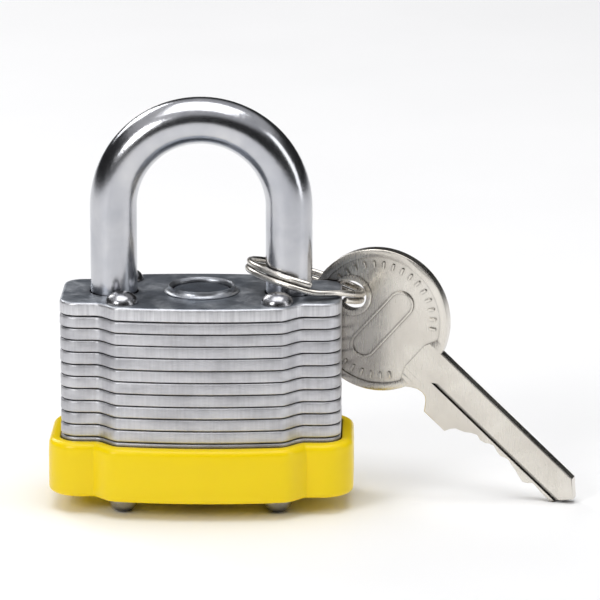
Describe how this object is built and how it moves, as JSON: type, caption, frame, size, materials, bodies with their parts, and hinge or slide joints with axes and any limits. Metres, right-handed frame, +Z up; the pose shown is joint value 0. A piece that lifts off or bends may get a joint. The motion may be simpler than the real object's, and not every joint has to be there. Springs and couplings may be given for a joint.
{
  "type": "laminated padlock with key",
  "caption": "Laminated steel padlock with a captive shackle, a protective plastic bumper, and a key on a split ring.",
  "frame": {"origin": "centre of the flat disc on top of the body, midway between the shackle's legs, on its upper face", "axes": "+Z up along the shackle's legs, +X from the shackle's toe to its captive heel, -Y out of the front"},
  "size_m": [0.0757, 0.0258, 0.0588],
  "materials": {
    "plate_steel": "stamped steel plates, thin bright zinc plating, satin edges",
    "bright_zinc": "bright zinc-plated hardened steel rod",
    "zinc_plate": "bright plated collar",
    "rivet_steel": "bright plated rivets with hammered domes",
    "nickel": "warm nickel plating, fine handling marks",
    "dark_steel": "rough blackened steel",
    "spring_steel": "drawn spring wire",
    "brass": "machined brass",
    "yellow_plastic": "moulded yellow plastic with a soft sheen"
  },
  "bodies": {
    "lock_body": {"top_plate": "plate_steel", "plate_02": "plate_steel", "plate_03": "plate_steel", "plate_04": "plate_steel", "plate_05": "plate_steel", "plate_06": "plate_steel", "plate_07": "plate_steel", "plate_08": "plate_steel", "plate_09": "plate_steel", "plate_10": "plate_steel", "plate_11": "plate_steel", "plate_12": "plate_steel", "plate_13": "plate_steel", "plate_14": "plate_steel", "plate_15": "plate_steel", "crown_collar": "zinc_plate", "crown_disc": "dark_steel", "bumper": "yellow_plastic", "rivet_front_left": "rivet_steel", "rivet_front_right": "rivet_steel", "rivet_rear_left": "rivet_steel", "rivet_rear_right": "rivet_steel", "cylinder_housing": "brass", "chamber_cover": "brass", "shackle_spring": "spring_steel", "driver_pin_1": "brass", "driver_pin_2": "brass", "driver_pin_3": "brass", "driver_pin_4": "brass", "driver_pin_5": "brass", "pin_spring_1": "spring_steel", "pin_spring_2": "spring_steel", "pin_spring_3": "spring_steel", "pin_spring_4": "spring_steel", "pin_spring_5": "spring_steel"},
    "shackle": {"shackle": "bright_zinc"},
    "plug": {"cylinder_plug": "brass", "cam": "dark_steel", "key_pin_1": "brass", "key_pin_2": "brass", "key_pin_3": "brass", "key_pin_4": "brass", "key_pin_5": "brass"},
    "bolt_left": {"bolt_left": "dark_steel"},
    "bolt_right": {"bolt_right": "dark_steel"},
    "key_ring": {"key_ring": "nickel"},
    "key": {"key": "nickel"}
  },
  "joints": [
    {"name": "shackle_lift", "type": "slide", "parent": "lock_body", "child": "shackle", "axis": [0, 0, 1], "range_m": [0, 0.0085], "deforming": ["shackle_spring"]},
    {"name": "plug_turn", "type": "hinge", "parent": "lock_body", "child": "plug", "pos_m": [0, -0.0034, -0.02], "axis": [0, 0, 1], "range_deg": [0, 90]},
    {"name": "bolt_left_slide", "type": "slide", "parent": "lock_body", "child": "bolt_left", "axis": [-1, 0, 0], "range_m": [0, 0.0015]},
    {"name": "bolt_right_slide", "type": "slide", "parent": "lock_body", "child": "bolt_right", "axis": [1, 0, 0], "range_m": [0, 0.0015]},
    {"name": "ring_tilt", "type": "hinge", "parent": "lock_body", "child": "key_ring", "pos_m": [0.00665, 0.00356, 0.00278], "axis": [0, -1, 0], "range_deg": [0, 12]},
    {"name": "key_swing", "type": "hinge", "parent": "key_ring", "child": "key", "pos_m": [0.0216, 0.00737, -0.00253], "axis": [-0.2656, -0.9641, 0.0054], "range_deg": [0, 75]}
  ],
  "couplings": [
    {"joint": "bolt_left_slide", "follows": "plug_turn", "m_per_rad": 0.00095},
    {"joint": "bolt_right_slide", "follows": "plug_turn", "m_per_rad": 0.00095}
  ]
}
